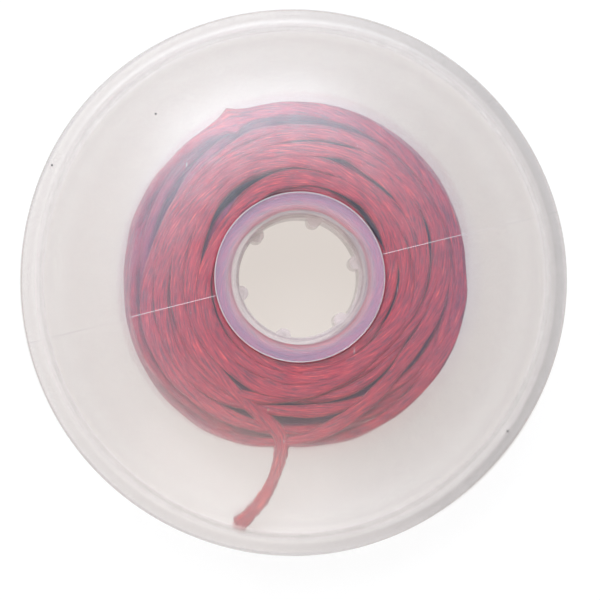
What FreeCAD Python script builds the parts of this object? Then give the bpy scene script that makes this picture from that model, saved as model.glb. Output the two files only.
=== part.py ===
import FreeCAD, Part

import math
import os

from FreeCAD import Vector

# A snap-closed string reel: two soft dished flanges on a pinned two-part hub, wound with string.
# Everything is in millimetres. Z is the hub's axis, and the two halves meet at Z = 0.

# Driving dimensions of the hub.
hub_height = 15.0
bore_radius = 6.95
mouth_radius = 7.15
mouth_depth = 3.0
tube_radius = 7.95
plate_radius = 9.85
plate_thickness = 1.0
edge_chamfer = 0.2

# Six half-round ribs stand in the bore, between its wider mouths. They hold the pins and sockets
# that join the halves.
rib_count = 6
rib_radius = 0.85
rib_first_angle = 15.0
pin_radius = 0.45
pin_length = 1.6
pin_clearance = 0.03

# Driving dimensions of a flange: a shallow dome that ends in a flat brim.
disc_radius = 32.0
brim_inner_radius = 30.1
crease_width = 0.5
flange_thickness = 0.5
flange_step = 0.5
brim_gap = 0.2
crease_rise = 0.6
flange_clearance = 0.1

# Driving dimensions of the string and of the package that it is wound into.
string_diameter = 1.5
package_radius = 20.25
package_corner = 2.75
string_clearance = 0.15
turn_step = 2.03
string_sink = 0.1
winding_start_radius = 11.3
winding_start_angle = 35.0
lead_in_angle = 9.5
least_gap_wanted = 0.4
point_spacing = 0.5

# The loose end's route, from the package's side out to the brim.
tail_route = [
    Vector(-2.0, -19.9, 1.9),
    Vector(-2.3, -22.8, 1.2),
    Vector(-3.6, -25.5, 0.6),
    Vector(-6.1, -28.1, 0.1),
]

# Worked out from the dimensions above.
hub_top = hub_height / 2
string_radius = string_diameter / 2
root_height = hub_top - flange_step - flange_thickness
brim_height = brim_gap / 2
dome_end_radius = brim_inner_radius - crease_width
dome_drop = root_height - brim_height - crease_rise
dome_run = dome_end_radius - plate_radius
dome_radius = (dome_run**2 + dome_drop**2) / (2 * dome_drop)
dome_centre_height = root_height - dome_radius
dome_end_angle = math.asin(dome_run / dome_radius)

axis = Vector(0, 0, 1)
centre = Vector(0, 0, 0)


def at(radius, height):
    """A point of an outline in the XZ plane."""
    return Vector(radius, 0, height)


def line(start, end):
    return Part.LineSegment(start, end).toShape()


def on_dome(radius, angle):
    """The point at an angle from the vertical, on an arc about the dome's own centre."""
    return at(plate_radius + radius * math.sin(angle), dome_centre_height + radius * math.cos(angle))


def dome_arc(radius, start, end):
    points = [on_dome(radius, angle) for angle in (start, (start + end) / 2, end)]
    return Part.Arc(*points).toShape()


def outline(points):
    """Straight edges from each point to the next."""
    return [line(a, b) for a, b in zip(points, points[1:])]


def turned(edges):
    """The solid that a closed outline sweeps about Z."""
    face = Part.Face(Part.Wire(Part.sortEdges(edges)[0]))
    return face.revolve(centre, axis, 360)


def around(radius, angle, height=0.0):
    """A point at a polar angle in degrees."""
    turn = math.radians(angle)
    return Vector(radius * math.cos(turn), radius * math.sin(turn), height)


def other_half(shape):
    """The same moulding turned over onto the first, so that each pin faces a socket."""
    return shape.rotated(centre, Vector(1, 1, 0), 180)


def hub_half():
    """Half of the tube with its end plate, ribs, three pins and three sockets."""
    rib_top = hub_top - mouth_depth
    body = turned(
        outline(
            [
                at(bore_radius, 0),
                at(tube_radius, 0),
                at(tube_radius, hub_top - plate_thickness),
                at(plate_radius, hub_top - plate_thickness),
                at(plate_radius, hub_top - edge_chamfer),
                at(plate_radius - edge_chamfer, hub_top),
                at(mouth_radius + edge_chamfer, hub_top),
                at(mouth_radius, hub_top - edge_chamfer),
                at(mouth_radius, rib_top),
                at(bore_radius, rib_top),
                at(bore_radius, 0),
            ]
        )
    )
    socket_radius = pin_radius + pin_clearance
    socket_depth = pin_length + 2 * pin_clearance
    for number in range(rib_count):
        place = around(bore_radius, rib_first_angle + 360 / rib_count * number)
        body = body.fuse(Part.makeCylinder(rib_radius, rib_top, place, axis))
        if number % 2 == 0:
            pin_root = place + axis * rib_radius
            body = body.fuse(Part.makeCylinder(pin_radius, pin_length + rib_radius, pin_root, -axis))
        else:
            body = body.cut(Part.makeCylinder(socket_radius, socket_depth, place, axis))
    return body.removeSplitter().Solids[0]


def flange():
    """One dished disc: a dome from the plate's edge to a crease, then the flat brim."""
    outer_radius = dome_radius + flange_thickness
    root_angle = math.asin(flange_clearance / dome_radius)
    brim_top = brim_height + flange_thickness
    inner_root, inner_end = (on_dome(dome_radius, angle) for angle in (root_angle, dome_end_angle))
    outer_end = on_dome(outer_radius, dome_end_angle)
    outer_root_angle = math.asin(flange_clearance / outer_radius)
    crease = outer_end.x + crease_width
    edge = disc_radius - flange_thickness / 2
    rounded = Part.Arc(
        at(edge, brim_top),
        at(disc_radius, brim_height + flange_thickness / 2),
        at(edge, brim_height),
    ).toShape()
    return turned(
        [
            dome_arc(outer_radius, outer_root_angle, dome_end_angle),
            *outline([outer_end, at(crease, brim_top), at(edge, brim_top)]),
            rounded,
            *outline([at(edge, brim_height), at(brim_inner_radius, brim_height), inner_end]),
            dome_arc(dome_radius, dome_end_angle, root_angle),
            line(inner_root, on_dome(outer_radius, outer_root_angle)),
        ]
    )


def package_half(depth, start_radius):
    """The front half of the package's outline at a depth below its surface, out to Z = 0."""
    face_radius = dome_radius - string_clearance - depth
    side_radius = package_radius - depth
    corner_radius = package_corner - depth
    corner_run = package_radius - package_corner - plate_radius
    corner_reach = dome_radius - string_clearance - package_corner
    corner_rise = math.sqrt(corner_reach**2 - corner_run**2)
    corner_centre = at(plate_radius + corner_run, dome_centre_height + corner_rise)
    corner_angle = math.atan2(corner_run, corner_rise)
    middle = (corner_angle + math.pi / 2) / 2
    corner_middle = corner_centre + at(math.sin(middle), math.cos(middle)) * corner_radius
    corner_end = at(side_radius, corner_centre.z)
    start_angle = math.asin(max(0.0, start_radius - plate_radius) / face_radius)
    edges = []
    if start_radius < plate_radius:
        edges.append(line(at(start_radius, dome_centre_height + face_radius), on_dome(face_radius, 0)))
    edges.append(dome_arc(face_radius, start_angle, corner_angle))
    edges.append(Part.Arc(on_dome(face_radius, corner_angle), corner_middle, corner_end).toShape())
    edges.append(line(corner_end, at(side_radius, 0)))
    return edges


def package_outline(depth, start_radius):
    """The outline from the front face, over the side, to the rear face."""
    front = package_half(depth, start_radius)
    return front + [edge.mirror(centre, axis) for edge in reversed(front)]


def string_core():
    """The inner layers, as one plain ring that the outer layer lies on."""
    inner_radius = tube_radius + string_clearance / 3
    edges = package_outline(string_diameter - string_sink, inner_radius)
    top = dome_centre_height + dome_radius - string_clearance - string_diameter + string_sink
    return turned(edges + [line(at(inner_radius, -top), at(inner_radius, top))])


def arc_bulge(start, way, end):
    """The middle point of the arc that leaves a point in a direction and reaches another point."""
    half = (end - start) / 2
    across = half - way * half.dot(way)
    toward = Vector(across).normalize()
    turn = math.atan2(half.dot(toward), half.dot(way))
    outward = way * math.sin(turn) - toward * math.cos(turn)
    return start + half + outward * (half.Length * math.tan(turn / 2))


def arc_from(start, way, end):
    """The arc from a point in a direction to another point."""
    return Part.Arc(start, arc_bulge(start, way, end), end).toShape()


def biarc(start, start_way, end, end_way):
    """Two arcs that leave and arrive in the given directions."""
    chord = end - start
    spread = 2 * (1 - start_way.dot(end_way))
    along = chord.dot(start_way + end_way)
    reach = (-along + math.sqrt(along**2 + spread * chord.dot(chord))) / spread
    middle = (start + end + (start_way - end_way) * reach) / 2
    arriving = Part.Arc(middle, arc_bulge(end, -end_way, middle), end).toShape()
    return [arc_from(start, start_way, middle), arriving]


def winding_nodes():
    """A point and a direction at every quarter turn of the outer layer."""
    edges = package_outline(string_radius, winding_start_radius)
    track = Part.Wire(Part.sortEdges(edges)[0])
    quarters = round(4 * track.Length / turn_step)
    places = track.discretize(quarters + 1)
    if places[0].z < 0:
        places.reverse()
    nodes = []
    for number, place in enumerate(places):
        before = places[max(number - 1, 0)]
        after = places[min(number + 1, quarters)]
        spans = min(number + 1, quarters) - max(number - 1, 0)
        drift = (after - before) / (spans * math.pi / 2)
        turn = winding_start_angle + 90.0 * number
        way = around(drift.x, turn, drift.z) + around(place.x, turn + 90)
        nodes.append((around(place.x, turn, place.z), way.normalize()))
    return nodes


def winding_path():
    """The outer layer's centreline. Each end stands on the tube, straight for one diameter."""
    nodes = winding_nodes()
    first, first_way = nodes[0]
    last, last_way = nodes[-1]
    first_angle = winding_start_angle - lead_in_angle
    last_angle = winding_start_angle + 90.0 * (len(nodes) - 1) + lead_in_angle
    inner = around(tube_radius, first_angle, first.z)
    lead = around(tube_radius + string_diameter, first_angle, first.z)
    lead_out = around(tube_radius + string_diameter, last_angle, last.z)
    inner_out = around(tube_radius, last_angle, last.z)
    edges = [line(inner, lead)]
    edges += biarc(lead, around(1, first_angle), first, first_way)
    for (start, start_way), (end, end_way) in zip(nodes, nodes[1:]):
        edges += biarc(start, start_way, end, end_way)
    edges += biarc(last, last_way, lead_out, around(-1, last_angle))
    edges.append(line(lead_out, inner_out))
    return edges


def tube(edges, radius):
    """A round tube along joined edges."""
    path = Part.Wire(edges)
    first = edges[0]
    start = first.valueAt(first.FirstParameter)
    way = first.tangentAt(first.FirstParameter)
    ring = Part.Wire(Part.makeCircle(radius, start, way))
    return path.makePipeShell([ring], True, False)


def least_gap(edges, diameter, apart):
    """The least space between stretches of a path that are further apart along it than apart."""
    spots = []
    run = 0.0
    cell_size = 2 * diameter
    for edge in edges:
        count = max(2, math.ceil(edge.Length / point_spacing))
        spots += [(run + edge.Length * k / count, p) for k, p in enumerate(edge.discretize(count + 1)[:-1])]
        run += edge.Length
    cells = {}
    for along, spot in spots:
        cells.setdefault(tuple(int(c // cell_size) for c in spot), []).append((along, spot))
    steps = (-1, 0, 1)
    best = math.inf
    for (x, y, z), inside in cells.items():
        beside = [cells.get((x + i, y + j, z + k), []) for i in steps for j in steps for k in steps]
        others = [item for group in beside for item in group]
        for along, spot in inside:
            gaps = [spot.distanceToPoint(q) for a, q in others if abs(a - along) > apart]
            best = min([best, *gaps])
    return best - diameter


def string_winding():
    """The outer layer as one unbroken tube: front face, side, rear face."""
    edges = winding_path()
    arcs = [edge.Curve.Radius for edge in edges if hasattr(edge.Curve, "Radius")]
    length = sum(edge.Length for edge in edges)
    gap = least_gap(edges, string_diameter, 3 * math.pi * string_diameter)
    solid = tube(edges, string_radius)
    section = math.pi * string_radius**2
    print(f"winding: {(len(winding_nodes()) - 1) / 4:.1f} turns, {length:.0f} mm of string")
    print(f"winding: tightest arc {min(arcs):.2f} mm")
    print(f"winding: least gap {gap:.2f} mm, wanted over {least_gap_wanted}")
    print(f"winding: volume over section times length {solid.Volume / section / length:.4f}")
    return solid


def rounded_route(points):
    """Straight runs joined by arcs that are as large as the runs beside them allow."""
    edges = []
    radii = []
    begin = points[0]
    for before, corner, after in zip(points, points[1:], points[2:]):
        way_in = Vector(corner - before).normalize()
        way_out = Vector(after - corner).normalize()
        setback = 0.45 * min((corner - before).Length, (after - corner).Length)
        half_turn = way_in.getAngle(way_out) / 2
        radii.append(setback / math.tan(half_turn))
        enter = corner - way_in * setback
        leave = corner + way_out * setback
        edges += [line(begin, enter), arc_from(enter, way_in, leave)]
        begin = leave
    edges.append(line(begin, points[-1]))
    return edges, radii


def string_tail():
    """The loose end that lies between the closed flanges."""
    edges, radii = rounded_route(tail_route)
    length = sum(edge.Length for edge in edges)
    solid = tube(edges, string_radius)
    section = math.pi * string_radius**2
    print(f"tail: {length:.1f} mm long, arc radii {[round(radius, 1) for radius in radii]} mm")
    print(f"tail: volume over section times length {solid.Volume / section / length:.4f}")
    return solid


def main():
    os.makedirs("parts", exist_ok=True)
    parts = {
        "front_hub": hub_half(),
        "rear_hub": other_half(hub_half()),
        "front_flange": flange(),
        "rear_flange": other_half(flange()),
        "string_core": string_core(),
        "string_winding": string_winding(),
        "string_tail": string_tail(),
    }
    for name, shape in parts.items():
        print(f"{name}: {shape.ShapeType}, valid {shape.isValid()}, {shape.Volume:.1f} mm3")
        shape.exportStep(f"parts/{name}.step")


main()
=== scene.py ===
# %% [markdown]
# # A snap-closed string reel
#
# The object is a small reel for craft string. Two thin, frosted plastic discs stand on a short
# hollow hub, dished towards each other so that their brims meet, and a soft red string is wound
# on the hub between them. The discs snap outwards, like a bowl turned inside out, to let string
# on or off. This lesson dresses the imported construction: the hub keeps its exact shape, while the
# string and the two soft discs are modelled here.

import math

import bpy
import numpy as np
from mathutils import Matrix, Vector


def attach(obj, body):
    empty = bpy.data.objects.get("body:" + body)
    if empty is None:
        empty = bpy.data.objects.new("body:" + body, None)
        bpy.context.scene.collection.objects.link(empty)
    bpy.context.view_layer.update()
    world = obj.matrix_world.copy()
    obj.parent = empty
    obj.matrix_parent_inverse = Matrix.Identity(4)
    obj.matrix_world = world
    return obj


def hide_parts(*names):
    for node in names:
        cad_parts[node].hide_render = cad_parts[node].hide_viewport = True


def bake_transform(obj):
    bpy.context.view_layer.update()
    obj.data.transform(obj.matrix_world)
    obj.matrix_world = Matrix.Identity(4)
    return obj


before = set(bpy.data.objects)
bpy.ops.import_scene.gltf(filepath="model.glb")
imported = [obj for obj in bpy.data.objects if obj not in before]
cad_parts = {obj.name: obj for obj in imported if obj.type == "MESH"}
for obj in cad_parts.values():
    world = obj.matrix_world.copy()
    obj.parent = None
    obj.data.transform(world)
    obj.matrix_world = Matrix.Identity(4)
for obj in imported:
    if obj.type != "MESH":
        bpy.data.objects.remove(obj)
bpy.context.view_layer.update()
print("nodes:", sorted(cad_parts))

# %% [markdown]
# The same few lengths come up again and again, so they get names once. They are the lengths that
# the construction was drawn with, here in metres, because Blender's unit is the metre.

# %% The lengths that the pieces share
tube_radius = 0.00795
plate_radius = 0.00985
plate_underside = 0.0065
disc_radius = 0.032
brim_inner_radius = 0.0301
brim_height = 0.0001
crease_width = 0.0005
crease_rise = 0.0006
disc_thickness = 0.0005
string_thickness = 0.0015
string_radius = string_thickness / 2
strand_radius = 0.0006

dome_end_radius = brim_inner_radius - crease_width
dome_run = dome_end_radius - plate_radius
dome_drop = plate_underside - brim_height - crease_rise
dome_radius = (dome_run**2 + dome_drop**2) / (2 * dome_drop)


def dome_height(radius, inside=0.0):
    """The height of the front dome's inner face, or of a surface at a distance inside it."""
    out = np.maximum(np.asarray(radius) - plate_radius, 0)
    return plate_underside - dome_radius + np.sqrt((dome_radius - inside) ** 2 - out**2)


print(f"the dome's radius is {dome_radius * 1000:.1f} mm")

# %% [markdown]
# The photograph looks almost straight down on the reel. The far edge of the hub's hole shows on
# one side only, by half a millimetre over the hub's depth of 15, which is a tilt of 2 degrees.
# The camera stands half a metre away with a long lens, so the reel shows hardly any perspective.

# %% Camera
aim = Vector((0.000245, -0.00249, 0))
toward_camera = Vector((-0.031, -0.023, 1)).normalized()
camera_distance = 0.5
photo_width = 600
photo_dots_per_mm = 8.56
view_width = photo_width / photo_dots_per_mm / 1000

camera_data = bpy.data.cameras.new("camera")
camera_data.sensor_width = 36
camera_data.lens = camera_data.sensor_width * camera_distance / view_width
camera_data.clip_start = 0.01
camera = bpy.data.objects.new("camera", camera_data)
bpy.context.collection.objects.link(camera)
sideways = Vector((0, 1, 0)).cross(toward_camera).normalized()
upwards = toward_camera.cross(sideways)
turn = Matrix((sideways, upwards, toward_camera)).transposed().to_4x4()
camera.matrix_world = Matrix.Translation(aim + toward_camera * camera_distance) @ turn
bpy.context.scene.camera = camera
print(f"lens {camera_data.lens:.0f} mm")

# %% [markdown]
# Shader maths reads best as plain expressions. This small class wraps one socket of a shader tree,
# so that adding or multiplying two of them adds the Math node that does it.


# %% A socket that Python's arithmetic works on
class Wire:
    """One output socket of a material's tree."""

    def __init__(self, tree, socket=None):
        self.tree = tree
        self.socket = socket

    def node(self, kind, settings=None, output=0, **sockets):
        """Adds any node: its settings first, then the values or links of its sockets."""
        made = self.tree.nodes.new("ShaderNode" + kind)
        for name, value in (settings or {}).items():
            if name == "stops":
                for _ in range(len(value) - 2):
                    made.color_ramp.elements.new(0.5)
                for stop, (place, colour) in zip(made.color_ramp.elements, value):
                    stop.position = place
                    stop.color = (*colour, 1)
            else:
                setattr(made, name, value)
        for name, value in sockets.items():
            key = int(name[1:]) if name[1:].isdigit() else name.replace("_", " ")
            if isinstance(value, Wire):
                self.tree.links.new(value.socket, made.inputs[key])
            else:
                made.inputs[key].default_value = value
        return Wire(self.tree, made.outputs[output] if made.outputs else None)

    def other(self, name):
        """Another output of the same node."""
        return Wire(self.tree, self.socket.node.outputs[name])

    def maths(self, operation, first, second=0.0):
        """A Math node with one or two values."""
        return self.node("Math", {"operation": operation}, i0=first, i1=second)

    def __add__(self, other):
        return self.maths("ADD", self, other)

    def __radd__(self, other):
        return self.maths("ADD", other, self)

    def __sub__(self, other):
        return self.maths("SUBTRACT", self, other)

    def __rsub__(self, other):
        return self.maths("SUBTRACT", other, self)

    def __mul__(self, other):
        return self.maths("MULTIPLY", self, other)

    def __rmul__(self, other):
        return self.maths("MULTIPLY", other, self)

    def __truediv__(self, other):
        return self.maths("DIVIDE", self, other)

    def distance(self, first, second):
        """How far apart two points are."""
        return self.node("VectorMath", {"operation": "DISTANCE"}, output=1, i0=first, i1=second)

    def from_axis(self):
        """The object's own coordinates, the same without height, and the distance to the hub's axis."""
        place = self.node("TexCoord", output=3)
        flat_place = self.node("VectorMath", {"operation": "MULTIPLY"}, i0=place, i1=(1, 1, 0))
        away = self.node("VectorMath", {"operation": "LENGTH"}, output=1, i0=flat_place)
        return place, flat_place, away

    def ramp(self, low, high):
        """0 at low and 1 at high, in a straight line between them."""
        settings = {"interpolation_type": "LINEAR", "clamp": True}
        return self.node("MapRange", settings, Value=self, From_Min=low, From_Max=high)

    def mix(self, first, second):
        """One colour or the other, by this mask."""
        settings = {"data_type": "RGBA"}
        return self.node("Mix", settings, output=2, i0=self, i6=first, i7=second)


def new_material(name):
    """An empty material, and a wire with which to add its nodes."""
    made = bpy.data.materials.new(name)
    made.use_nodes = True
    made.node_tree.nodes.clear()
    return made, Wire(made.node_tree)


def finish_material(surface):
    """Shows a surface shader on the material."""
    surface.node("OutputMaterial", Surface=surface)


print("shader arithmetic is ready")

# %% [markdown]
# The light is plain: a pale room and three large, soft lamps. The strongest stands beyond the
# photograph's top, a little blue, and its sheen lies on the upper part of the domed disc. The other
# two are weaker and warmer, and fill the lower and the left side.


# %% Lamps
def soft_lamp(name, place, size, power, colour):
    """A square lamp that faces the reel."""
    data = bpy.data.lights.new(name, "AREA")
    data.size = size
    data.energy = power
    data.color = colour
    lamp = bpy.data.objects.new(name, data)
    bpy.context.collection.objects.link(lamp)
    turned = Vector(place).to_track_quat("Z", "Y").to_matrix().to_4x4()
    lamp.matrix_world = Matrix.Translation(place) @ turned
    return lamp


soft_lamp("top_lamp", (-0.09, 0.44, 0.81), 0.6, 11.0, (0.87, 0.93, 1.0))
soft_lamp("lower_lamp", (-0.20, -0.70, 0.75), 0.8, 5.6, (1.0, 0.93, 0.88))
soft_lamp("left_lamp", (-0.75, 0.10, 0.65), 0.8, 1.4, (1.0, 0.98, 0.97))
print("lamps:", [lamp.name for lamp in bpy.data.lights])

# %% [markdown]
# The room gives a weak light from all round, and looks white to the camera only, so that the
# background is white without more light on the reel.

# %% Room
room_light = 0.18

world = bpy.data.worlds.new("room")
world.use_nodes = True
world_tree = world.node_tree
room_rays = world_tree.nodes.new("ShaderNodeLightPath")
seen_room = world_tree.nodes.new("ShaderNodeMapRange")
seen_room.inputs["To Min"].default_value = room_light
world_tree.links.new(room_rays.outputs["Is Camera Ray"], seen_room.inputs["Value"])
world_tree.links.new(seen_room.outputs["Result"], world_tree.nodes["Background"].inputs["Strength"])
world_tree.nodes["Background"].inputs["Color"].default_value = (1, 1, 1, 1)
bpy.context.scene.world = world
bpy.context.scene.view_settings.view_transform = "Standard"
print("room light:", room_light)

# %% [markdown]
# The floor is white paper. In the photograph the paper under the reel, seen through its hole and
# its discs, is a warm grey: that is the reel's shadow, which has the reel's own outline because the
# light there comes from straight above. A round grey patch on the paper stands for it, darkest at the
# brim, where the two discs meet. Where the camera sees the paper, straight or through the plastic, it
# gives most of its light itself, so its colour doesn't depend on the lamps. The floor lies just below
# the place that the rear disc reaches when it is snapped outwards, so no pose sinks into it.

# %% Floor
floor_height = -0.0142
patch_centre = (-0.00012, 0.00002, floor_height)
patch_radius = 0.03263
patch_blur = 0.00025
hole_edge = (0.0085, 0.0120)
brim_edge = (0.0306, 0.0313)
white = (1.0, 1.0, 1.0, 1)
paper_in_hole = (0.81, 0.745, 0.695, 1)
paper_under_disc = (0.70, 0.65, 0.62, 1)
paper_under_brim = (0.66, 0.62, 0.605, 1)
own_light = 0.85
floor_size = 3

bpy.ops.object.select_all(action="DESELECT")
bpy.ops.mesh.primitive_plane_add(size=floor_size, location=(0, 0, floor_height))
floor = bpy.context.object
floor.name = "floor"
floor.data.transform(floor.matrix_world)
floor.matrix_world = Matrix.Identity(4)
floor_material, wire = new_material("floor_paper")
place = wire.node("TexCoord", output=3)
away = wire.distance(place, patch_centre)
under_disc = away.ramp(*hole_edge).mix(paper_in_hole, paper_under_disc)
under_disc = away.ramp(*brim_edge).mix(under_disc, paper_under_brim)
paper = away.ramp(patch_radius, patch_radius + patch_blur).mix(under_disc, white)
rays = wire.node("LightPath")
seen = rays.other("Is Camera Ray") + rays.other("Is Glossy Ray") + rays.other("Is Transmission Ray")
seen = wire.maths("MINIMUM", seen, 1.0)
lit = wire.node("BsdfDiffuse", Color=paper)
glow = wire.node("Emission", Color=paper, Strength=1.0)
finish_material(wire.node("MixShader", i0=seen * own_light, i1=lit, i2=glow))
floor.data.materials.append(floor_material)
print("floor at", floor_height)

# %% [markdown]
# The string is one length of soft cotton, wound by hand. Drawing sixty-odd turns one by one would
# look too neat, so they are laid the way that a hand lays them: the string heads for the lowest
# place that is left, sinks into the valley beside its neighbour, pulls straight over what is under
# it, and stops where the disc is. A height map, over the angle round the hub and the place along
# it, remembers how far out the package has grown.

# %% The package's shape
columns = 120
cell = 0.0001
half_width = 0.0066
grid = np.arange(int(2 * half_width / cell) + 1) * cell - half_width
column_angle = 2 * math.pi / columns
degree = math.pi / 180
package_radius = 0.0203
lumps = ((0.00052, 1, 140), (0.00035, 2, 60), (0.00025, 3, 95), (0.00010, 4, 50))
laid_radius = 0.0190
disc_gap = 0.0001
corner = 0.0030
corner_start = 0.0020
corner_share = 0.6
groove_depth = 0.0006
groove_start = 0.0130
groove_slope = 0.0015
pressed = 0.00025
least_gap = 0.8 * strand_radius
least_room = 0.12
most_over = 0.0002
thinnest = 0.0005
whim = 0.05
face_bias = 0.06
side_width = 0.0008
paces = (0.0014, 0.0040)
longest_rest = 0.9
sway = 0.00012
wander = ((0.00045, 8.1), (0.00040, 13.9), (0.00028, 5.3))


def package_reach(angle):
    """How far out the finished package reaches on each side: it was wound a little unevenly."""
    waves = (size * np.cos(count * (angle - turned * degree)) for size, count, turned in lumps)
    return sum(waves, package_radius)


def laid_shape(height):
    """How far out the laying is to reach at a height along the hub."""
    height = np.abs(height)
    below = dome_radius - plate_underside + height
    dome = np.sqrt(np.maximum((dome_radius - disc_gap) ** 2 - below**2, 0)) + plate_radius
    dome = np.where(height > plate_underside - disc_gap, plate_radius, dome)
    side = np.clip((height - corner_start) / corner, 0, 0.999)
    return np.minimum(dome, laid_radius - corner_share * corner * (1 - np.sqrt(1 - side**2)))


def rear_room(radius):
    """The height at which the string, pressed a little flat, touches the disc or the end plate."""
    clear = strand_radius - pressed
    return np.where(radius > plate_radius, dome_height(radius, clear), plate_underside - clear)


def front_room(radius):
    """The same at the front, where a groove is left for the last turns."""
    return rear_room(radius) - groove_depth * np.clip((radius - groove_start) / groove_slope, 0, 1)


print(f"the package is {package_radius * 2000:.1f} mm across")


# %% How the string comes to rest
slides = np.array([-0.0004, -0.0002, 0, 0.0002, 0.0004])
slide_cost = 0.35
ease = 12
peak_reach = 3
steepest_climb = 0.00010
tightness = 0.35


def pulled_straight(radii):
    """The shortest way round the hub outside a row of contact points, from the first of them."""
    angles = np.arange(len(radii)) * column_angle
    xs, ys = radii * np.cos(angles), radii * np.sin(angles)
    kept = [0]
    for i in range(1, len(radii)):
        while len(kept) > 1:
            a, b = kept[-2:]
            if (xs[b] - xs[a]) * (ys[i] - ys[b]) > (ys[b] - ys[a]) * (xs[i] - xs[b]):
                break
            kept.pop()
        kept.append(i)
    way = np.empty(len(radii))
    for a, b in zip(kept, kept[1:]):
        part = angles[a : b + 1]
        inverse = np.sin(angles[b] - part) / radii[a] + np.sin(part - angles[a]) / radii[b]
        way[a : b + 1] = math.sin(angles[b] - angles[a]) / inverse
    return way


def rise_over(z):
    """How far the string's own round section stands out over each cell, and where it does."""
    share = 1 - ((grid[None, :] - z[:, None]) / strand_radius) ** 2
    return strand_radius * np.sqrt(np.maximum(share, 0)), share > 0


def contact(surface, z):
    """The radius at which a string at height z first touches the surface."""
    rise, covered = rise_over(z)
    return np.where(covered, surface + rise, 0).max(1)


def smoothed(values, reach):
    """The mean of each value and its neighbours up to a reach away."""
    wide = np.pad(values, reach, "edge")
    return np.convolve(wide, np.ones(2 * reach + 1) / (2 * reach + 1), "valid")


def no_steeper(values, first, step):
    """The same values, changing by no more than a step from one to the next."""
    held = []
    for value in values:
        first += float(np.clip(value - first, -step, step))
        held.append(first)
    return np.array(held)


def lay_down(column, radius, height):
    """Raises one column of the height map over the string that has come to rest there."""
    rise, covered = rise_over(np.array([height]))
    column[covered[0]] = np.maximum(column, radius + rise[0])[covered[0]]


def into_valleys(below, swayed, slide):
    """How far each point slides sideways, so that the string sinks in beside its neighbours."""
    cost = [contact(below, swayed + s) + slide_cost * abs(s) for s in slides]
    best = np.concatenate([np.full(ease, slide), slides[np.argmin(cost, 0)]])
    return smoothed(best, ease)[ease:]


def drawn_over(touch):
    """The string's way over its contact points: part pulled straight, part loose over the peaks."""
    climb = touch.copy()
    for k in range(len(climb) - 2, -1, -1):
        climb[k] = max(climb[k], climb[k + 1] - steepest_climb)
    near = [climb[max(0, k - peak_reach) : k + peak_reach + 1] for k in range(len(climb))]
    loose = np.array([part.max() for part in near])
    loose = np.maximum(smoothed(loose, peak_reach), climb)
    return tightness * pulled_straight(touch) + (1 - tightness) * loose


print("a string can be laid")

# %% [markdown]
# The photograph shows how the winding ends, so the last two turns follow a plan. The string lies
# at the front edge of the package, folds over it at 113 degrees, comes back round, and lies in the
# groove on the front side until it leaves for the loose end at 228 degrees. The loose end's points
# are placed one by one: over the package's edge, down along the disc, and in between the two brims.
#
# A string under tension can't jump. So each point may lie only a little farther in, out or sideways
# than the one before it, and two of those limits are wider in the last turns. The string is laid in
# chunks of ten points, and looks forty points ahead before it lays each.

# %% Winding the string
end_degrees = 228
fold_degrees = 113
end_radius = 0.0148
leave_from = 220
last_angles = [-700, -620, -480, -466, -440, -405, -370, -335, -300, -275, 0]
tail_points = [
    (-0.0075, -0.0133, 0.00570),
    (-0.0048, -0.0157, 0.00550),
    (-0.0031, -0.0171, 0.00530),
    (-0.0021, -0.0182, 0.00495),
    (-0.0020, -0.0198, 0.00445),
    (-0.0024, -0.0217, 0.00360),
    (-0.0031, -0.0238, 0.00280),
    (-0.0041, -0.0257, 0.00190),
    (-0.0053, -0.0271, 0.00108),
    (-0.0068, -0.0286, 0.00022),
]
last_heights = [0.0020, 0.0040, 0.0040, 0.0028, -0.0006, -0.0016, 0.0006, 0.0032, 0.0050, 0.0055, 0.0055]
planned_degrees = 690
first_height = -0.0053
front_height = 0.0055
arrived = 0.0003
most_sideways = (0.00018, 0.00025)
most_inward = (0.00012, 0.00022)
most_outward = 0.00015
most_inward_at_end = 0.00013
chunk = 10
ahead = 40


def next_goal(surface, z, rng):
    """Picks the lowest place left, or None where the package is full."""
    goal = laid_shape(grid)
    grown = smoothed(surface.mean(0), 4)
    reached = grown + strand_radius
    room = (grid > -rear_room(reached)) & (grid < front_room(reached))
    room &= goal - grown > least_gap
    if room.mean() < least_room or grown.max() > laid_radius + most_over:
        return None
    left = (goal - grown) / np.maximum(goal - tube_radius, thinnest)
    left += whim * rng.standard_normal() * np.sin(grid * rng.uniform(500, 1500) + rng.uniform(0, 6))
    near_side = (grid < side_width - rear_room(reached)) | (grid > front_room(reached) - side_width)
    left += face_bias * near_side - whim * rng.random() * np.sign(grid * z)
    left[~room] = -1
    return float(grid[np.argmax(left)])


def heading(z, speed, targets, limits, hurry):
    """The next points' heights, on their way to their targets, and the speed after a chunk.

    The hurry is how strongly a target pulls, the fastest pace, the number of points that the pace
    is for, and how quickly the speed follows.
    """
    pull, pace, per, follows = hurry
    plan, speeds = [], []
    for target in targets:
        speed += follows * (np.clip(pull * (target - z), -pace, pace) / per - speed)
        z = float(np.clip(z + speed, *limits))
        plan.append(z)
        speeds.append(speed)
    return np.array(plan), speeds[chunk - 1]


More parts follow.
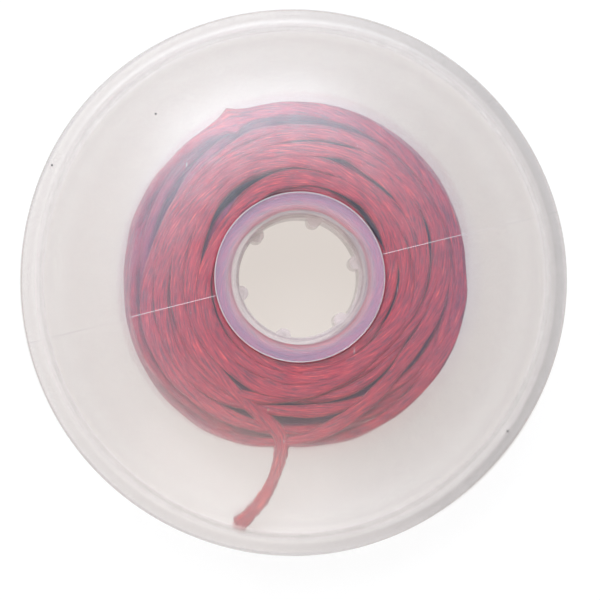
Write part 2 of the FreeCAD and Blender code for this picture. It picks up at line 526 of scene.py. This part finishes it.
def wind(seed):
    """Lays turn on turn until the package is full. Gives each point's radius and height."""
    rng = np.random.default_rng(seed)
    surface = np.full((columns, len(grid)), tube_radius)
    radii, places = [tube_radius + strand_radius], [first_height]
    z, target = first_height, front_height
    speed, slide, pace, rest = 0.0, 0.0, 0.0016, 0
    last = None
    while last is None or len(radii) <= last:
        count = len(radii) - 1
        ending = last is not None
        rear_limit = float(rear_room(radii[-1]))
        front_limit = front_height if ending else float(front_room(radii[-1]))
        there = abs(z - np.clip(target, -rear_limit, front_limit)) < arrived
        rest -= chunk * there
        if not ending and there and rest <= 0:
            found = next_goal(surface, z, rng)
            if found is None:
                ending = True
                done_degrees = count * column_angle / degree
                turns_on = math.ceil((done_degrees + planned_degrees - end_degrees) / 360)
                last = round((end_degrees + 360 * turns_on) * degree / column_angle)
            else:
                target = found
                pace = rng.uniform(*paces)
                rest = int(rng.uniform(0, longest_rest) * columns)
        points = count + np.arange(chunk + ahead)
        limits = (-rear_limit, front_limit)
        if ending:
            degrees = (points - last) * column_angle / degree
            targets = np.interp(degrees, last_angles, last_heights)
            plan, speed = heading(z, speed, targets, limits, (0.4, 0.00025, 1, 0.3))
            swayed = plan
        else:
            targets = np.full(chunk + ahead, target)
            plan, speed = heading(z, speed, targets, limits, (3, pace, columns, 0.12))
            turn = points / columns
            swayed = plan + sway * (np.sin(turn * 8.3) + np.sin(turn * 4.7 + 1) + np.sin(turn * 13.1))
        here = points % columns
        below = surface[here]
        eased = into_valleys(below, swayed, slide)
        run_z = no_steeper(np.clip(swayed + eased, *limits), places[-1], most_sideways[ending])
        touch = np.concatenate([radii[-1:], contact(below, run_z)])
        way = drawn_over(touch)
        for k in range(chunk):
            step = np.clip(way[k + 1] - radii[-1], -most_inward[ending], most_outward)
            radius = max(touch[k + 1], radii[-1] + step)
            if ending and degrees[k] > -leave_from:
                inward = np.clip(end_radius - radii[-1], -most_inward_at_end, most_inward_at_end)
                radius = radii[-1] + float(inward)
            height = float(np.clip(run_z[k], -rear_room(radius), rear_room(radius)))
            lay_down(surface[here[k]], radius, height)
            radii.append(float(radius))
            places.append(height)
        z, slide = float(plan[chunk - 1]), float(eased[chunk - 1])
    return np.array(radii[: last + 1]), np.array(places[: last + 1])


def drawn_in(radii):
    """The turns pressed together, so that the outermost ones lie at the package's outline."""
    column = np.arange(len(radii)) % columns
    reach = np.array([radii[column == c].max() for c in range(columns)])
    window = np.hanning(25) / np.hanning(25).sum()
    reach = np.convolve(np.tile(reach, 3), window, "same")[columns : 2 * columns]
    wanted = package_reach(np.arange(columns) * column_angle) - strand_radius
    core = tube_radius + strand_radius
    return core + (radii - core) * ((wanted - core) / (reach - core))[column]


def unsteady(radii, heights):
    """The hand's wander: turns that aren't quite round, so that neighbours cross."""
    turn = np.arange(len(radii)) / columns
    core = tube_radius + strand_radius
    share = np.clip((radii - core) / (package_radius - strand_radius - core), 0, 1)
    before_last = np.clip((turn[-1] - 0.4 - turn) / 0.5, 0, 1)
    free = np.sqrt(np.clip(4 * share * (1 - share), 0, 1)) * before_last
    out = sum(size * np.sin(turn * rate + rate) for size, rate in wander)
    up = sum(0.4 * size * np.sin(turn * rate * 1.3 + 2 * rate) for size, rate in wander)
    room = rear_room(radii + free * out)
    return radii + free * out, np.clip(heights + free * up, -room, room)


def pressed_flat(radii, heights):
    """The package's two sides pressed against the discs: strands there come to lie just under them."""
    band_width = 0.0004
    column = np.arange(len(radii)) % columns
    bands = np.arange(tube_radius, package_radius + 0.001, band_width)
    band = np.clip(((radii - tube_radius) / band_width).astype(int), 0, len(bands) - 1)
    room = rear_room(bands)
    window = np.hanning(13)[:, None] * np.hanning(7)[None, :]
    for side in (1, -1):
        top = np.zeros((columns, len(bands)))
        np.maximum.at(top, (column, band), heights * side)
        wide = np.pad(top, ((3, 3), (1, 1)), "wrap")
        wide[:, 0], wide[:, -1] = wide[:, 1], wide[:, -2]
        top = np.max([wide[i : i + columns, j : j + len(bands)] for i in range(7) for j in range(3)], 0)
        stretch = np.clip(room[None, :] / np.maximum(top, 0.001), 0.9, 1.5)
        padded = np.pad(np.pad(stretch, ((6, 6), (0, 0)), "wrap"), ((0, 0), (3, 3)), "edge")
        eased = np.zeros_like(stretch)
        for i, j in np.ndindex(window.shape):
            eased = eased + window[i, j] * padded[i : i + columns, j : j + len(bands)]
        eased = eased / window.sum()
        here = heights * side > 0
        heights = np.where(here, heights * eased[column, band], heights)
    return heights


def beneath_last(radii, heights):
    """The front side's strands pushed down where the last half turn and the loose end cross them."""
    covered_width, pushed_down, front_from = 0.0017, 0.0008, 0.0015
    angles = np.arange(len(radii)) * column_angle
    spots = np.stack([radii * np.cos(angles), radii * np.sin(angles)], axis=1)
    last_part = len(radii) - int(0.45 * columns)
    over = np.concatenate([spots[last_part::2], [point[:2] for point in tail_points[:6]]])
    gap = np.array([np.hypot(*(over - spot).T).min() for spot in spots])
    near = np.clip(1 - gap / covered_width, 0, 1)
    near[last_part - columns // 8 :] = 0
    sunk = smoothed(pushed_down * near * near * (3 - 2 * near), 2)
    raised = np.clip((np.arange(len(radii)) - last_part) / 12, 0, 1)
    lowered = np.where(heights > front_from, heights - sunk, heights)
    return lowered + (rear_room(radii) - lowered) * raised


def rounded(values):
    """The values with their sharpest corners taken off."""
    weights = np.array([1, 2, 3, 4, 3, 2, 1]) / 16
    return np.convolve(np.pad(values, 3, "edge"), weights, "valid")


wound_radii, wound_heights = wind(seed=1)
wound_radii, wound_heights = unsteady(drawn_in(wound_radii), wound_heights)
wound_heights = beneath_last(wound_radii, pressed_flat(wound_radii, wound_heights))
wound_radii, wound_heights = rounded(wound_radii), rounded(wound_heights)
wound_angles = np.arange(len(wound_radii)) * column_angle
print(f"{len(wound_radii) / columns:.1f} turns")

# %% [markdown]
# A smooth NURBS spline runs through the winding and on along the loose end. It passes a little
# inside its control points, so the turns' points are moved out by that much first. The loose end
# leaves the winding in a straight line, bends round the package's edge and comes to lie between
# the two brims.

# %% The string's line
every = 4
inside_share = 0.75 + 0.25 * math.cos(every * column_angle)
picked = slice(0, len(wound_radii), every)
out = wound_radii[picked] / inside_share
turns = np.stack(
    [out * np.cos(wound_angles[picked]), out * np.sin(wound_angles[picked]), wound_heights[picked]],
    axis=1,
)
line_data = bpy.data.curves.new("string_line", "CURVE")
line_data.dimensions = "3D"
line_data.resolution_u = 6
spline = line_data.splines.new("NURBS")
control = np.concatenate([turns, tail_points])
spline.points.add(len(control) - 1)
spline.points.foreach_set("co", np.hstack([control, np.ones((len(control), 1))]).ravel())
spline.order_u = 3
spline.use_endpoint_u = True
line = bpy.data.objects.new("string_line", line_data)
bpy.context.collection.objects.link(line)
read = bpy.data.meshes.new_from_object(line)
path = np.array([v.co for v in read.vertices])
run = np.concatenate([[0], np.cumsum(np.linalg.norm(np.diff(path, axis=0), axis=1))])
string_length = float(run[-1])
bpy.data.objects.remove(line)
print(f"the string is {string_length:.2f} m long, {len(control)} control points")

# %% [markdown]
# The string itself is six soft plies with a slow twist. A ring of 12 points, every second one
# pulled in a little, follows the line and turns as it goes, which draws the six plies. Soft string
# under a disc is pressed flat against it, so each ring gets flatter and wider where there is less
# room, and no point of it goes past the disc's inner face. It swells where it folds over the
# package's edge and towards its cut end, and is rough where it lies free. The UV map runs round and
# along the string, for the fibres in its material.

# %% Rings along the string
ring_spacing = 0.0010
sides = 12
lay_length = 0.040
ply_depth = 0.08
widened = 1.06
loose_length = 0.014
loose_rings = 48
fold_swell, fold_reach = 0.8, 0.0009
end_swell, end_reach = 0.22, 0.006
roughness = 0.07
disc_clearance = 0.00006

loose_start = string_length - loose_length
wound_stations = np.linspace(0, loose_start, int(loose_start / ring_spacing) + 1)
loose_stations = np.linspace(loose_start, string_length, loose_rings)[1:]
stations = np.concatenate([wound_stations, loose_stations])
count = len(stations)
centres = np.stack([np.interp(stations, run, path[:, k]) for k in range(3)], axis=1)
ways = np.gradient(centres, axis=0)
ways /= np.linalg.norm(ways, axis=1)[:, None]
normals = np.empty_like(ways)
normals[0] = np.cross(ways[0], (0, 0, 1.0))
for k in range(1, count):
    carried = normals[k - 1] - ways[k] * normals[k - 1].dot(ways[k])
    normals[k] = carried / np.linalg.norm(carried)
normals[0] /= np.linalg.norm(normals[0])
binormals = np.cross(ways, normals)
around_ring = np.arange(sides) * 2 * math.pi / sides
ply_shape = np.where(np.arange(sides) % 2, 1 - ply_depth, 1.0)
angle = around_ring[None, :] + (stations * 2 * math.pi / lay_length)[:, None]
swell = 1 + 0.05 * np.sin(stations * 410) + 0.04 * np.sin(stations * 1130 + 1)
swell += end_swell * np.clip(1 - (string_length - stations) / end_reach, 0, 1)
turned_to = np.degrees(np.arctan2(centres[:, 1], centres[:, 0]))
at_fold = (abs(turned_to - fold_degrees) < 2) & (centres[:, 2] > 0.001)
fold_station = stations[np.argmax(np.hypot(centres[:, 0], centres[:, 1]) * at_fold)]
swell += fold_swell * np.exp(-(((stations - fold_station) / fold_reach) ** 2))
free = np.clip((stations - string_length + 0.016) / 0.004, 0, 1)
body_radius = strand_radius + (string_radius / widened - strand_radius) * free
radius = body_radius[:, None] * ply_shape[None, :] * swell[:, None]
rough = np.random.default_rng(3).standard_normal(radius.shape)
radius *= 1 + roughness * free[:, None] * np.clip(rough, -1.5, 1.5)
offsets = (
    (radius * np.cos(angle))[..., None] * normals[:, None, :]
    + (radius * np.sin(angle))[..., None] * binormals[:, None, :]
)
centre_reach = np.hypot(centres[:, 0], centres[:, 1])


def face_above(reach):
    """The height of whatever the string lies under: the disc, or the hub's end plate."""
    return np.where(reach > plate_radius, dome_height(reach), plate_underside) - disc_clearance


space = (face_above(centre_reach) - np.abs(centres[:, 2])) / body_radius
flat = np.clip(space, 0.5, 1.0)
half_height = (body_radius * flat)[:, None]
offsets[..., 2] = np.clip(offsets[..., 2], -half_height, half_height)
offsets[..., :2] *= (widened / np.sqrt(flat))[:, None, None]
rings = centres[:, None, :] + offsets
uneven = 0.00003 * (1 + np.sin(stations * 97)) + 0.00002 * (1 + np.sin(stations * 61 + 2))
highest = face_above(np.hypot(rings[..., 0], rings[..., 1])) - uneven[:, None]
rings[..., 2] = np.clip(rings[..., 2], -highest, highest)
print(f"{count} rings of {sides} points")

# %% The string's mesh
corners = rings.reshape(-1, 3)
first = (np.arange(count - 1) * sides)[:, None]
side = np.arange(sides)[None, :]
after = (side + 1) % sides
faces = np.stack([first + side, first + after, first + sides + after, first + sides + side], axis=2)
faces = faces.reshape(-1, 4)
caps = [list(range(sides))[::-1], [(count - 1) * sides + k for k in range(sides)]]
string_mesh = bpy.data.meshes.new("string")
string_mesh.from_pydata(corners.tolist(), [], faces.tolist() + caps)
string_mesh.polygons.foreach_set("use_smooth", [True] * len(string_mesh.polygons))
uv = string_mesh.uv_layers.new(name="string_uv")
u = np.stack([side, side + 1, side + 1, side], axis=2).repeat(count - 1, axis=0) / sides
v0 = stations[:-1][:, None].repeat(sides, axis=1)
v1 = stations[1:][:, None].repeat(sides, axis=1)
v = np.stack([v0, v0, v1, v1], axis=2) * 1000
along = np.stack([u, v], axis=3).reshape(-1)
uv.data.foreach_set("uv", np.concatenate([along, np.zeros(4 * sides)]))
string = bpy.data.objects.new("string", string_mesh)
bpy.context.collection.objects.link(string)
print(f"{len(string_mesh.polygons)} faces")

# %% [markdown]
# The cut end has come apart a little. Some two dozen short, thin cones stand out of it, fanned
# outwards, as a brush's hairs do. They reach farther on one side, because the cut is oblique.

# %% The string's frayed end
fray_count = 22
fibre_radii = (0.00012, 0.00002)
sunk_in = 0.0002
end_way = Vector(ways[-1])
end_side = Vector((end_way.y, -end_way.x, 0)).normalized()
end_up = end_way.cross(end_side)
fray_random = np.random.default_rng(5)
bpy.ops.object.select_all(action="DESELECT")
fibres = []
for k in range(fray_count):
    turn_on = 2 * math.pi * k / fray_count * 7
    reach = string_radius * 0.85 * math.sqrt((k + 0.5) / fray_count)
    side_step, up_step = reach * math.cos(turn_on), 0.6 * reach * math.sin(turn_on)
    length = 0.0007 + 0.0004 * fray_random.random() + 0.35 * side_step
    lean = end_way + end_side * (side_step * 500 + 0.15 * fray_random.standard_normal())
    start = Vector(centres[-1]) + end_side * side_step + end_up * up_step
    bpy.ops.mesh.primitive_cone_add(
        vertices=6,
        radius1=fibre_radii[0],
        radius2=fibre_radii[1],
        depth=length,
        location=start + end_way * (length / 2 - sunk_in),
        rotation=lean.to_track_quat("Z", "Y").to_euler(),
    )
    fibres.append(bpy.context.object)
for fibre in fibres:
    fibre.select_set(True)
bpy.context.view_layer.objects.active = fibres[0]
bpy.ops.object.join()
fray = bpy.context.object
fray.name = "string_fray"
fray.data.transform(fray.matrix_world)
fray.matrix_world = Matrix.Identity(4)
bpy.ops.object.shade_smooth()
print(f"{fray_count} fibres stand out at the end")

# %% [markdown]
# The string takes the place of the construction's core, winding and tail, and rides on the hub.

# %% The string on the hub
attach(string, "hub")
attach(fray, "hub")
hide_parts("string_core", "string_winding", "string_tail")
print(f"cord of {string_length:.2f} m")

# %% [markdown]
# Red cotton seen through the frosted disc is a crimson with fine, short streaks of random tone:
# pale ones are painted highlights where a fibre would catch the light, and dark ones painted shade
# where two fibres part. The valleys between the plies get painted shade as well. The noise is
# wrapped round the string, so it has no seam, and stretched along it. Deep between the turns hardly
# any red light is left, so painted shade turns the string to a dark violet with its depth below the
# disc. The loose end, which lies in the light, is painted a little paler: painted light.

# %% String material
# The violet of the painted shade deep between the turns.
painted_shade_violet = (0.13, 0.04, 0.20, 1)
string_material, wire = new_material("red_cotton")
uv_place = wire.node("UVMap", {"uv_map": "string_uv"})
split = wire.node("SeparateXYZ", Vector=uv_place)
round_it = split * (2 * math.pi)
plies = 6
along_it = split.other("Y")
wrap = wire.node(
    "CombineXYZ",
    X=wire.maths("COSINE", round_it) * 3.0,
    Y=wire.maths("SINE", round_it) * 3.0,
    Z=along_it * 0.22,
)
streaks = wire.node("TexNoise", Vector=wrap, Scale=2.0, Detail=4.0, Roughness=0.7)
slow = wire.node("TexNoise", {"noise_dimensions": "1D"}, W=along_it * 0.08, Scale=1.0, Detail=2.0)
# Painted shade: the valleys between the plies are made darker.
ply = wire.maths("COSINE", split * (2 * math.pi * plies)) * 0.5 + 0.5
light = (streaks.ramp(0.38, 0.68) * 0.85 + slow * 0.15) * (0.88 + 0.12 * ply)
end_mm = string_length * 1000
# Painted light: the loose end is made paler because it lies in the light.
loose = along_it.ramp(end_mm - loose_length * 1000, end_mm - 8)
light = light + 0.12 * loose
# The ramp's pale stops are painted highlights on the fibres, its dark stops painted shade.
colour = wire.node(
    "ValToRGB",
    {
        "stops": [
            (0.0, (0.05, 0.001, 0.022)),
            (0.30, (0.26, 0.006, 0.030)),
            (0.62, (0.40, 0.011, 0.036)),
            (1.0, (0.85, 0.10, 0.07)),
        ]
    },
    Fac=light,
)
place, _, away = wire.from_axis()
out = wire.maths("MAXIMUM", away - plate_radius, 0.0)
height = wire.maths("ABSOLUTE", wire.node("SeparateXYZ", Vector=place).other("Z"))
# Painted shade: the string is coloured dark violet the deeper it lies below the disc.
depth = plate_underside - out * out / (2 * dome_radius) - height
painted_depth_shade = depth.ramp(0.0012, 0.0024) * (0.85 - 0.72 * away.ramp(0.0160, 0.0185))
colour = painted_depth_shade.mix(colour, painted_shade_violet)
bump = wire.node("Bump", Height=streaks, Strength=0.5, Distance=0.0002)
surface = wire.node(
    "BsdfPrincipled",
    Base_Color=colour,
    Roughness=0.6,
    Normal=bump,
    Sheen_Weight=0.15,
    Sheen_Roughness=0.4,
)
finish_material(surface)
string_mesh.materials.append(string_material)
print("red cotton on", string.name)

# %% [markdown]
# The fibres of the frayed end are the same cotton without its twist: matt, soft at the edges, and
# uneven in how dark they are.

# %% The fibres' material
dark_fibre = (0.36, 0.05, 0.07, 1)
pale_fibre = (0.66, 0.16, 0.17, 1)
fray_material, wire = new_material("cotton_fibres")
place = wire.node("TexCoord", output=3)
tufts = wire.node("TexNoise", Vector=place, Scale=3000.0, Detail=2.0)
shade = tufts.ramp(0.3, 0.7).mix(dark_fibre, pale_fibre)
finish_material(wire.node("BsdfPrincipled", Base_Color=shade, Roughness=0.8, Sheen_Weight=0.2))
fray.data.materials.append(fray_material)
print("cotton on", fray.name)

# %% [markdown]
# Each disc is one spun profile: a wide shallow dome, a soft crease where it meets the rim, and a
# flat brim. The profile is the middle of the plastic, which the Solidify modifier then makes half a
# millimetre thick. In the photograph the brim isn't quite round or quite central, because soft
# plastic never is, and the disc gets the same small error.

# %% The discs' profile
middle = disc_thickness / 2
brim_middle = brim_height + middle
profile = [(plate_radius + 0.00003, plate_underside + middle)]
for share in np.linspace(0.02, 1, 32):
    reach = plate_radius + (dome_end_radius - 0.0006 - plate_radius) * share
    profile.append((reach, float(dome_height(reach, -middle))))
crease_start, crease_top = profile[-1]
crease_end = brim_inner_radius + 0.0003
crease_lift = 0.00003
for share in (0.2, 0.4, 0.6, 0.8, 1.0):
    eased = share * share * (3 - 2 * share)
    lifted = crease_lift * math.sin(math.pi * share)
    reach = crease_start + (crease_end - crease_start) * share
    profile.append((reach, crease_top + (brim_middle - crease_top) * eased + lifted))
profile += [(reach, brim_middle) for reach in (0.0309, 0.0314, 0.0317, disc_radius - 0.0001)]
print(f"{len(profile)} points from {profile[0][0] * 1000:.1f} to {profile[-1][0] * 1000:.1f} mm")


# %% The discs
segments = 160
brim_offset = (-0.00056, -0.00033)
brim_waves = ((0.00012, 3, 0.6), (0.00006, 5, 2.0))
softer_from = 0.012


def spun_disc(name, side):
    """The profile spun round the hub's axis: on its front for side 1, on its rear for side -1."""
    bpy.ops.object.select_all(action="DESELECT")
    start_radius, start_height = profile[0]
    bpy.ops.mesh.primitive_circle_add(
        vertices=segments, radius=start_radius, location=(0, 0, start_height * side)
    )
    disc = bpy.context.object
    disc.name = name
    disc.data.transform(disc.matrix_world)
    disc.matrix_world = Matrix.Identity(4)
    bpy.ops.object.mode_set(mode="EDIT")
    bpy.ops.mesh.select_all(action="SELECT")
    for (r0, z0), (r1, z1) in zip(profile, profile[1:]):
        bpy.ops.mesh.extrude_edges_move(TRANSFORM_OT_translate={"value": (0, 0, (z1 - z0) * side)})
        bpy.ops.transform.resize(value=(r1 / r0, r1 / r0, 1), center_override=(0, 0, 0))
    bpy.ops.mesh.select_all(action="SELECT")
    bpy.ops.mesh.normals_make_consistent(inside=False)
    bpy.ops.object.mode_set(mode="OBJECT")
    spots = np.array([v.co for v in disc.data.vertices])
    reach = np.hypot(spots[:, 0], spots[:, 1])
    theta = np.arctan2(spots[:, 1], spots[:, 0])
    share = np.clip((reach - softer_from) / 0.020, 0, 1) ** 1.5
    spots[:, 0] += brim_offset[0] * share
    spots[:, 1] += brim_offset[1] * share
    wavy = sum(size * np.sin(waves * theta + start) for size, waves, start in brim_waves)
    spots[:, 0] += wavy * share * np.cos(theta)
    spots[:, 1] += wavy * share * np.sin(theta)
    disc.data.vertices.foreach_set("co", spots.ravel())
    disc.data.update()
    bpy.ops.object.shade_smooth()
    thick = disc.modifiers.new("thickness", "SOLIDIFY")
    thick.thickness = disc_thickness
    thick.offset = 0
    return disc


front_disc = spun_disc("front_disc", 1)
rear_disc = spun_disc("rear_disc", -1)
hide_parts("front_flange")
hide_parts("rear_flange")
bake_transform(front_disc)
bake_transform(rear_disc)
print(f"each disc has {len(front_disc.data.polygons)} faces before it gets its thickness")

# %% [markdown]
# Frosted plastic lets most of the light straight through, which keeps the string crisp, and spreads
# the rest. In the shader, Alpha is the share that the plastic acts on: about a tenth beside the hub
# and more outwards, where the disc looks milkier. That share is refracted a little roughly, and a
# broad coat over it gives the soft sheen. A few hundredths of plain haze do what light scattered
# inside the plastic does: bluish at the top, and reddish low down, which is painted light from the
# string shining into it.
#
# The marks are what make it a used moulding: a hair-thin mould line right across, three dark specks
# and a brown one, dust, fine scratches, and scuffs that break up the milkiness. The brim is pale on
# the left and has painted shade on the right that makes it grey there, with a thin darker edge and a
# soft pale line at its crease, which is a painted highlight. Its masks are centred where the brim is,
# which is half a millimetre off the axis.

# %% Where the discs have their marks
mould_line_turn = 14 * degree
mould_line_offset = 0.00025
brim_centre = (-0.0005, -0.0003, 0)
brim_from = (0.0300, 0.0308)
crease_from = (0.0286, 0.0295)
# Painted highlight: a pale line along the crease.
crease_painted_highlight_from = (0.0290, 0.0294)
crease_painted_highlight_to = (0.0299, 0.0304)
edge_line_from = (0.0316, 0.0318)
# Painted shade: the brim is made grey towards the right.
painted_shade_to_the_right = (-0.004, 0.022)
# Painted light: the haze turns reddish downwards, as if lit by the string.
painted_string_light_downwards = (-0.004, -0.017)
past_string = (0.0195, 0.0215)
dark_specks = [(-0.0166, 0.0190, 0.0), (-0.0287, 0.0132, 0.0), (0.0245, -0.0178, 0.0)]
brown_speck = (-0.0036, -0.0153, 0.0)
speck_black = (0.02, 0.02, 0.03, 1)
speck_brown = (0.22, 0.08, 0.03, 1)
bluish_haze = (0.62, 0.56, 0.88, 1)
painted_string_light_haze = (0.85, 0.48, 0.50, 1)
pale_haze = (0.95, 0.90, 0.87, 1)
mark_white = (1.0, 0.97, 0.97, 1)
dome_tone = (0.98, 0.955, 0.95, 1)
brim_tone = (0.90, 0.87, 0.86, 1)
brim_painted_shade_tone = (0.46, 0.445, 0.45, 1)
brim_edge_tone = (0.66, 0.64, 0.64, 1)


def some_cells(wire, place, scale, size, chosen_from):
    """A small soft mark in the middle of the few cells of a Voronoi pattern that are chosen."""
    cells = wire.node("TexVoronoi", Vector=place, Scale=scale)
    number = wire.node("SeparateColor", Color=cells.other("Color"))
    return (1 - cells.ramp(*size)) * number.ramp(chosen_from, chosen_from + 0.01)


def mould_line_mask(wire, x, y, away):
    """A thin line across the disc, strong over the end plate and string and faint outside."""
    across = y * math.cos(mould_line_turn) - x * math.sin(mould_line_turn) - mould_line_offset
    thin = 1 - wire.maths("ABSOLUTE", across).ramp(0.00002, 0.00006)
    return thin * away.ramp(0.0098, 0.0099) * (1 - 0.8 * away.ramp(0.0198, 0.0202))


print("the discs have", len(dark_specks), "dark specks")


# %% Plastic of the discs
def disc_plastic():
    """The frosted plastic of both discs, with the front one's specks."""
    made, wire = new_material("frosted_disc")
    place, flat_place, away = wire.from_axis()
    split = wire.node("SeparateXYZ", Vector=place)
    x, y = split, split.other("Y")

    mould_line = mould_line_mask(wire, x, y, away)
    in_front = split.other("Z").ramp(0.0, 0.0001)
    specks = 0.0
    for spot in dark_specks:
        specks = (1 - wire.distance(flat_place, spot).ramp(0.00008, 0.00016)) + specks
    specks = specks * in_front
    brown = (1 - wire.distance(flat_place, brown_speck).ramp(0.00006, 0.00016)) * in_front
    scuffs = wire.node("TexNoise", Vector=place, Scale=420.0, Detail=6.0, Roughness=0.7)
    grain = wire.node("TexNoise", Vector=place, Scale=5200.0, Detail=2.0)
    dust = some_cells(wire, place, 800.0, (0.03, 0.05), 0.90)
    drawn_out = wire.node("VectorMath", {"operation": "MULTIPLY"}, i0=place, i1=(1.0, 0.16, 0.5))
    scratch = some_cells(wire, drawn_out, 620.0, (0.03, 0.06), 0.88)

    from_brim_centre = wire.distance(flat_place, brim_centre)
    rim = from_brim_centre.ramp(*brim_from)
    crease = from_brim_centre.ramp(*crease_from) * (1 - rim)
    # The pale line along the crease is a painted highlight.
    crease_painted_highlight = from_brim_centre.ramp(*crease_painted_highlight_from)
    crease_painted_highlight = crease_painted_highlight * (1 - from_brim_centre.ramp(*crease_painted_highlight_to))
    edge_line = from_brim_centre.ramp(*edge_line_from)

    milkiness = 0.11 + 0.17 * away.ramp(0.010, 0.020) + 0.20 * (scuffs - 0.5)
    milkiness = milkiness * (1 - 0.2 * crease) + 0.15 * crease_painted_highlight + 0.05 * rim
    alpha = wire.maths("MINIMUM", milkiness + mould_line * 0.25 + specks + brown, 1.0)
    tone = rim.mix(dome_tone, brim_tone)
    # Painted shade on the brim's right side.
    tone = (rim * x.ramp(*painted_shade_to_the_right)).mix(tone, brim_painted_shade_tone)
    tone = edge_line.mix(tone, brim_edge_tone)
    bump = wire.node("Bump", Height=grain * 0.5 + scuffs * 0.5, Strength=0.15, Distance=0.0001)
    clear = wire.node(
        "BsdfPrincipled",
        Base_Color=tone,
        Roughness=0.26,
        IOR=1.5,
        Specular_IOR_Level=0.0,
        Transmission_Weight=0.95,
        Alpha=alpha,
        Coat_Weight=wire.maths("MAXIMUM", 1 - 0.85 * rim - 0.2 * crease - specks - brown, 0.0),
        Coat_Roughness=0.45,
        Coat_IOR=2.2,
        Normal=bump,
    )

    haze_share = 0.012 + 0.020 * away.ramp(0.011, 0.019)
    haze_share = haze_share + 0.05 * grain.ramp(0.45, 0.75) * away.ramp(0.016, 0.019)
    # The crease's pale line here is a painted highlight.
    haze_share = haze_share + 0.08 * crease_painted_highlight + 0.17 * mould_line + 0.25 * dust + 0.20 * scratch
    haze_share = wire.maths("MINIMUM", haze_share, 0.6)
    haze_share = wire.maths("MAXIMUM", haze_share, (specks + brown) * 0.95)
    # The reddish haze low down is painted light from the string.
    haze_tone = y.ramp(*painted_string_light_downwards).mix(bluish_haze, painted_string_light_haze)
    haze_tone = away.ramp(*past_string).mix(haze_tone, pale_haze)
    haze_tone = (mould_line + dust + scratch).mix(haze_tone, mark_white)
    haze_tone = specks.mix(haze_tone, speck_black)
    haze_tone = brown.mix(haze_tone, speck_brown)
    haze = wire.node("BsdfDiffuse", Color=haze_tone)
    finish_material(wire.node("MixShader", i0=haze_share, i1=clear, i2=haze))
    return made


disc_material = disc_plastic()
for disc in (front_disc, rear_disc):
    disc.data.materials.append(disc_material)
print("plastic on", front_disc.name, "and", rear_disc.name)

# %% [markdown]
# The hub is the same plastic, only thicker, so it is milkier: a pale grey tube, seen as a ring
# inside the lilac of the end plate, through which the string's red shows, strongest in a pink line
# beside the tube. A thin white line is painted on the end plate's edge, a painted highlight where it
# would catch the light. The hub's shape comes from the construction, so only its material is made here.


# %% Plastic of the hub
tube_tone = (1.0, 0.91, 0.91, 1)
plate_lilac = (0.78, 0.62, 0.83, 1)
beside_tube_pink = (0.85, 0.50, 0.58, 1)
plate_from = (0.00790, 0.0090)
pink_from = (0.00780, 0.00795)
pink_to = (0.00790, 0.0084)
# Painted highlight: where the end plate's edge is painted white.
painted_edge_highlight_from = (0.00968, 0.00974)


def hub_plastic():
    """The hub's plastic, toned by the distance to its axis."""
    made, wire = new_material("frosted_hub")
    _, _, away = wire.from_axis()
    in_plate = away.ramp(*plate_from)
    pink_line = (1 - away.ramp(*pink_to)) * away.ramp(*pink_from)
    # Painted highlight: a thin white line at the end plate's edge.
    painted_edge_highlight = away.ramp(*painted_edge_highlight_from)
    shade = in_plate.mix(tube_tone, plate_lilac)
    shade = pink_line.mix(shade, beside_tube_pink)
    shade = painted_edge_highlight.mix(shade, white)
    surface = wire.node(
        "BsdfPrincipled",
        Base_Color=shade,
        Roughness=0.25,
        IOR=1.5,
        Transmission_Weight=0.65,
        Alpha=wire.maths("MAXIMUM", painted_edge_highlight, 0.60),
        Coat_Weight=0.6,
        Coat_Roughness=0.10,
    )
    finish_material(surface)
    return made


hub_material = hub_plastic()
for name in ("front_hub", "rear_hub"):
    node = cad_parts[name]
    node.data.materials.clear()
    node.data.materials.append(hub_material)
print("plastic on front_hub and rear_hub")
